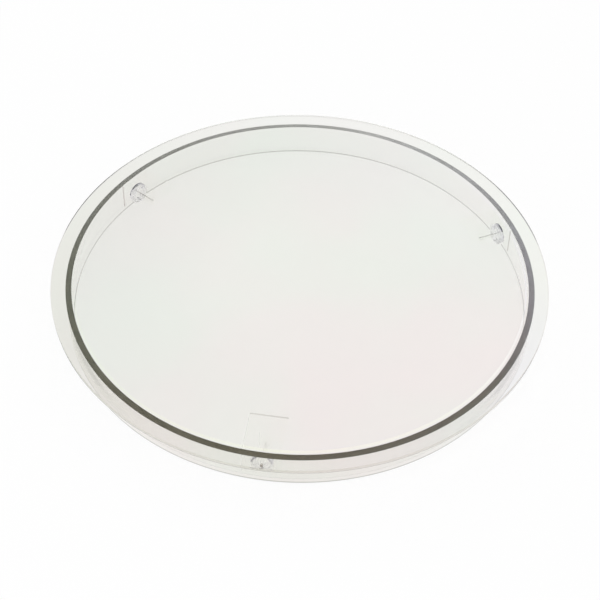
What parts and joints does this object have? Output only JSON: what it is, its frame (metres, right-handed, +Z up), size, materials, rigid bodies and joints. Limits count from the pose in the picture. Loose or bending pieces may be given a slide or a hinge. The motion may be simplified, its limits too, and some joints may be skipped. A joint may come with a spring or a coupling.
{
  "type": "lazy susan turntable",
  "caption": "Low clear round turntable: a flat top with a skirt below it that runs on small rollers over a clear base disc.",
  "frame": {"origin": "on the table, at the centre of the base disc's underside", "axes": "+Z up, along the axis the top turns about; X and Y lie in the table, X crosses no roller"},
  "size_m": [0.3, 0.3, 0.0226],
  "materials": {
    "clear_sheet": "clear acrylic sheet, polished faces and edges",
    "clear_moulding": "clear moulded plastic, faintly grey",
    "clear_pin": "smooth clear plastic rod",
    "natural_nylon": "milky nylon",
    "soft_clear": "soft clear elastomer, slightly hazy"
  },
  "bodies": {
    "base": {"base_disc": "clear_sheet"},
    "top": {"top_plate": "clear_sheet", "skirt_ring": "clear_sheet", "roller_bracket_1": "clear_moulding", "axle_pin_1": "clear_pin", "outer_washer_1": "natural_nylon", "axle_spacer_1": "natural_nylon", "axle_clip_1": "clear_pin", "roller_bracket_2": "clear_moulding", "axle_pin_2": "clear_pin", "outer_washer_2": "natural_nylon", "axle_spacer_2": "natural_nylon", "axle_clip_2": "clear_pin", "roller_bracket_3": "clear_moulding", "axle_pin_3": "clear_pin", "outer_washer_3": "natural_nylon", "axle_spacer_3": "natural_nylon", "axle_clip_3": "clear_pin"},
    "roller_1": {"roller_hub_1": "clear_moulding", "roller_tyre_1": "soft_clear"},
    "roller_2": {"roller_hub_2": "clear_moulding", "roller_tyre_2": "soft_clear"},
    "roller_3": {"roller_hub_3": "clear_moulding", "roller_tyre_3": "soft_clear"}
  },
  "joints": [
    {"name": "turntable_spin", "type": "hinge", "parent": "base", "child": "top", "pos_m": [0, 0, 0.0226], "axis": [0, 0, 1], "continuous": true},
    {"name": "roller_spin_1", "type": "hinge", "parent": "top", "child": "roller_1", "pos_m": [0.12466, 0.05037, 0.0091], "axis": [0.9272, 0.3746, 0], "continuous": true},
    {"name": "roller_spin_2", "type": "hinge", "parent": "top", "child": "roller_2", "pos_m": [-0.10595, 0.08278, 0.0091], "axis": [-0.788, 0.6157, 0], "continuous": true},
    {"name": "roller_spin_3", "type": "hinge", "parent": "top", "child": "roller_3", "pos_m": [-0.01871, -0.13314, 0.0091], "axis": [-0.1392, -0.9903, 0], "continuous": true}
  ],
  "couplings": [
    {"joint": "roller_spin_1", "follows": "turntable_spin", "ratio": -20.685},
    {"joint": "roller_spin_2", "follows": "turntable_spin", "ratio": -20.685},
    {"joint": "roller_spin_3", "follows": "turntable_spin", "ratio": -20.685}
  ]
}
